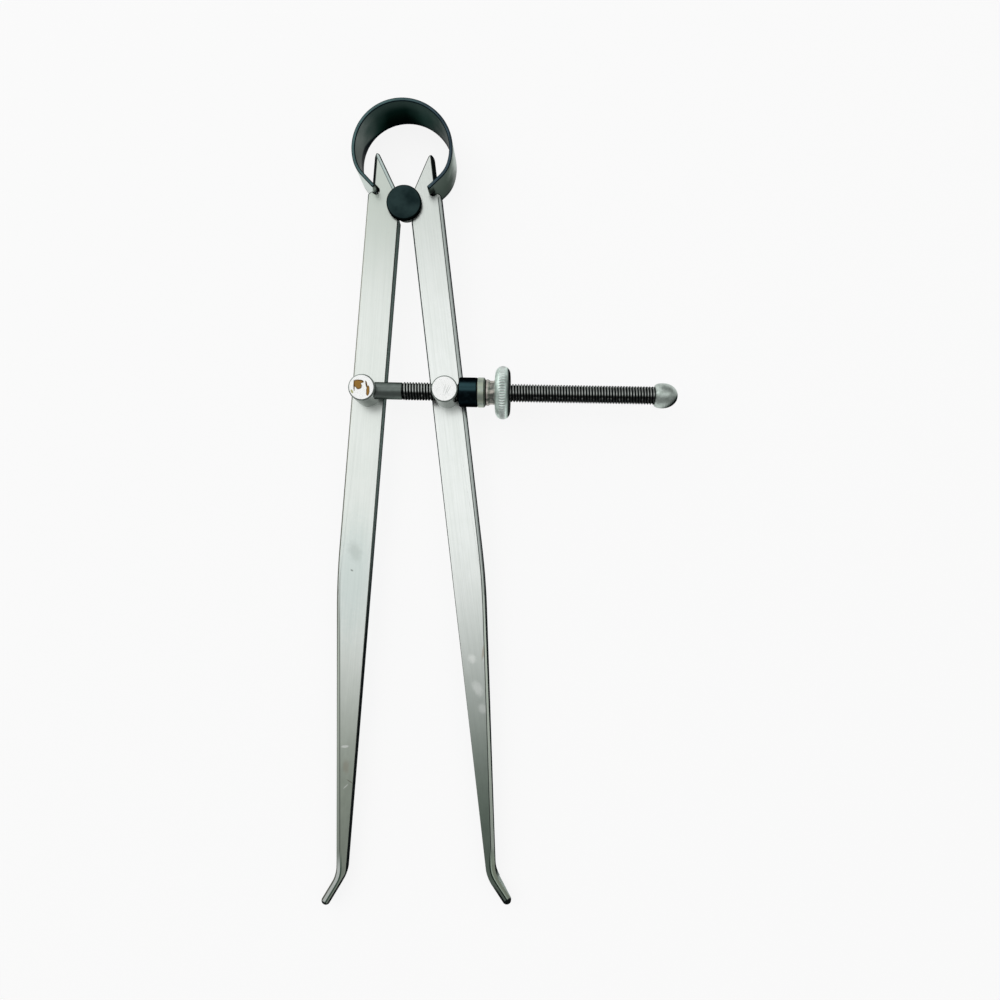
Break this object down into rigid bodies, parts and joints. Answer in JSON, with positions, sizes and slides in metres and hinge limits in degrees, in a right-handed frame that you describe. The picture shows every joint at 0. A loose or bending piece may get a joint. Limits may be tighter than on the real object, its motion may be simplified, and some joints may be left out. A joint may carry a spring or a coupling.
{
  "type": "spring caliper",
  "caption": "Inside spring caliper: flat tapered legs with turned-out toes on a fulcrum spool, held by a bow spring and set by a screw with a knurled nut.",
  "frame": {"origin": "under the middle of the caliper's box, level with the bow spring's rear rim", "axes": "+X toward the end of the screw, +Y from the toes to the bow, +Z out of the face that carries the screw"},
  "size_m": [0.1038, 0.23, 0.0198],
  "materials": {
    "leg_steel": "satin, lengthwise grain",
    "spring_steel": "dark blue-green oxide",
    "dark_oxide": "dark oxide",
    "plated": "worn bright plating",
    "black": "gloss black"
  },
  "bodies": {
    "fulcrum": {"fulcrum_spool": "dark_oxide", "bow_spring": "spring_steel"},
    "left_leg": {"left_leg": "leg_steel"},
    "right_leg": {"right_leg": "leg_steel"},
    "screw": {"left_stud": "plated", "adjusting_screw": "dark_oxide", "end_knob": "plated"},
    "right_stud": {"right_stud": "plated", "thrust_sleeve": "black", "thrust_washer": "plated"},
    "nut": {"adjusting_nut": "plated"}
  },
  "joints": [
    {"name": "left_leg_pivot", "type": "hinge", "parent": "fulcrum", "child": "left_leg", "pos_m": [-0.02468, 0.08658, 0.006], "axis": [0, 0, 1], "range_deg": [-22.57, 5.52], "deforming": ["bow_spring"]},
    {"name": "right_leg_pivot", "type": "hinge", "parent": "fulcrum", "child": "right_leg", "pos_m": [-0.02468, 0.08658, 0.006], "axis": [0, 0, 1], "range_deg": [-5.52, 22.57], "deforming": ["bow_spring"]},
    {"name": "screw_swivel", "type": "hinge", "parent": "left_leg", "child": "screw", "pos_m": [-0.03608, 0.03233, 0.0125], "axis": [0, 0, 1], "range_deg": [-5.91, 24.18]},
    {"name": "stud_swivel", "type": "hinge", "parent": "right_leg", "child": "right_stud", "pos_m": [-0.0132, 0.03154, 0.0125], "axis": [0, 0, 1], "range_deg": [-20.96, 5.13]},
    {"name": "nut_spin", "type": "hinge", "parent": "right_stud", "child": "nut", "pos_m": [-0.00201, 0.03115, 0.0125], "axis": [0.9994, -0.0348, 0], "range_deg": [-4475.4, 18349]}
  ],
  "couplings": [
    {"joint": "left_leg_pivot", "follows": "nut_spin", "ratio": -0.001229},
    {"joint": "right_leg_pivot", "follows": "nut_spin", "ratio": 0.001229},
    {"joint": "screw_swivel", "follows": "nut_spin", "ratio": 0.0013167},
    {"joint": "stud_swivel", "follows": "nut_spin", "ratio": -0.0011412}
  ]
}
